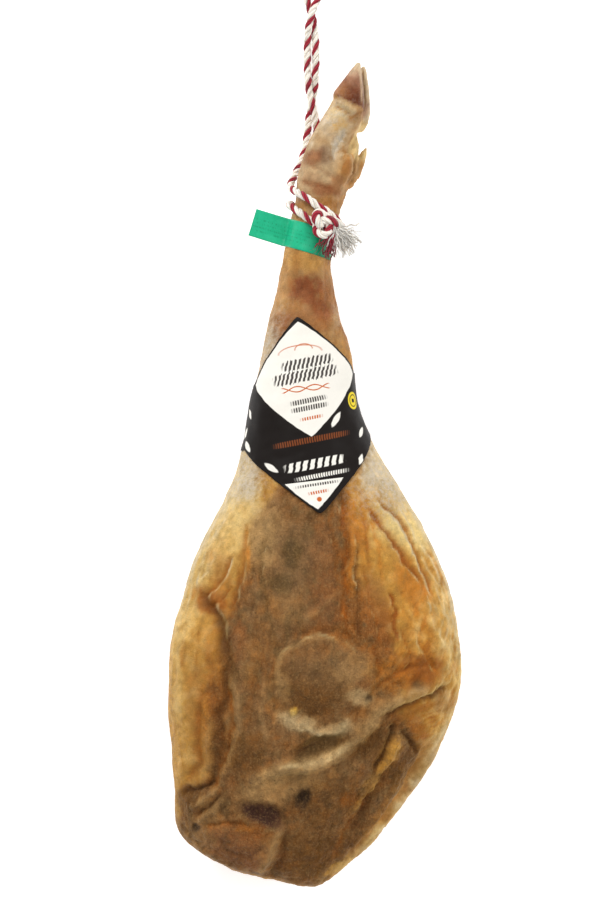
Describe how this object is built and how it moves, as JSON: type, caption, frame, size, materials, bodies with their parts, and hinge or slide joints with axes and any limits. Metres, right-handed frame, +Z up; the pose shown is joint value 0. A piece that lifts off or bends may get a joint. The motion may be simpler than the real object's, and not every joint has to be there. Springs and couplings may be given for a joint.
{
  "type": "cured ham",
  "caption": "Whole bone-in cured ham with its trotter, laid on its skin side, with a card label sleeve, a plastic tag band and a hanging rope round the shank.",
  "frame": {"origin": "under the middle of the ham's box, on the surface it rests on, measured without the free rope", "axes": "+Y from the butt to the hoof along the leg, +Z up out of the lean face, +X to the right of that face"},
  "size_m": [0.2827, 0.9282, 0.1261],
  "materials": {
    "cured_meat": "dried, oily fat and lean in ochre, amber and brown, with pale mould bloom on the shank",
    "printed_card": "satin printed card, black with off-white panels",
    "green_plastic": "smooth, slightly translucent strip",
    "cotton_rope": "matte twisted cotton, one strand red and two undyed"
  },
  "bodies": {
    "root": {"ham": "cured_meat", "label_sleeve": "printed_card", "tag_band": "green_plastic", "rope_lashing": "cotton_rope", "rope_tassel": "cotton_rope", "hanging_rope": "cotton_rope"}
  },
  "joints": []
}
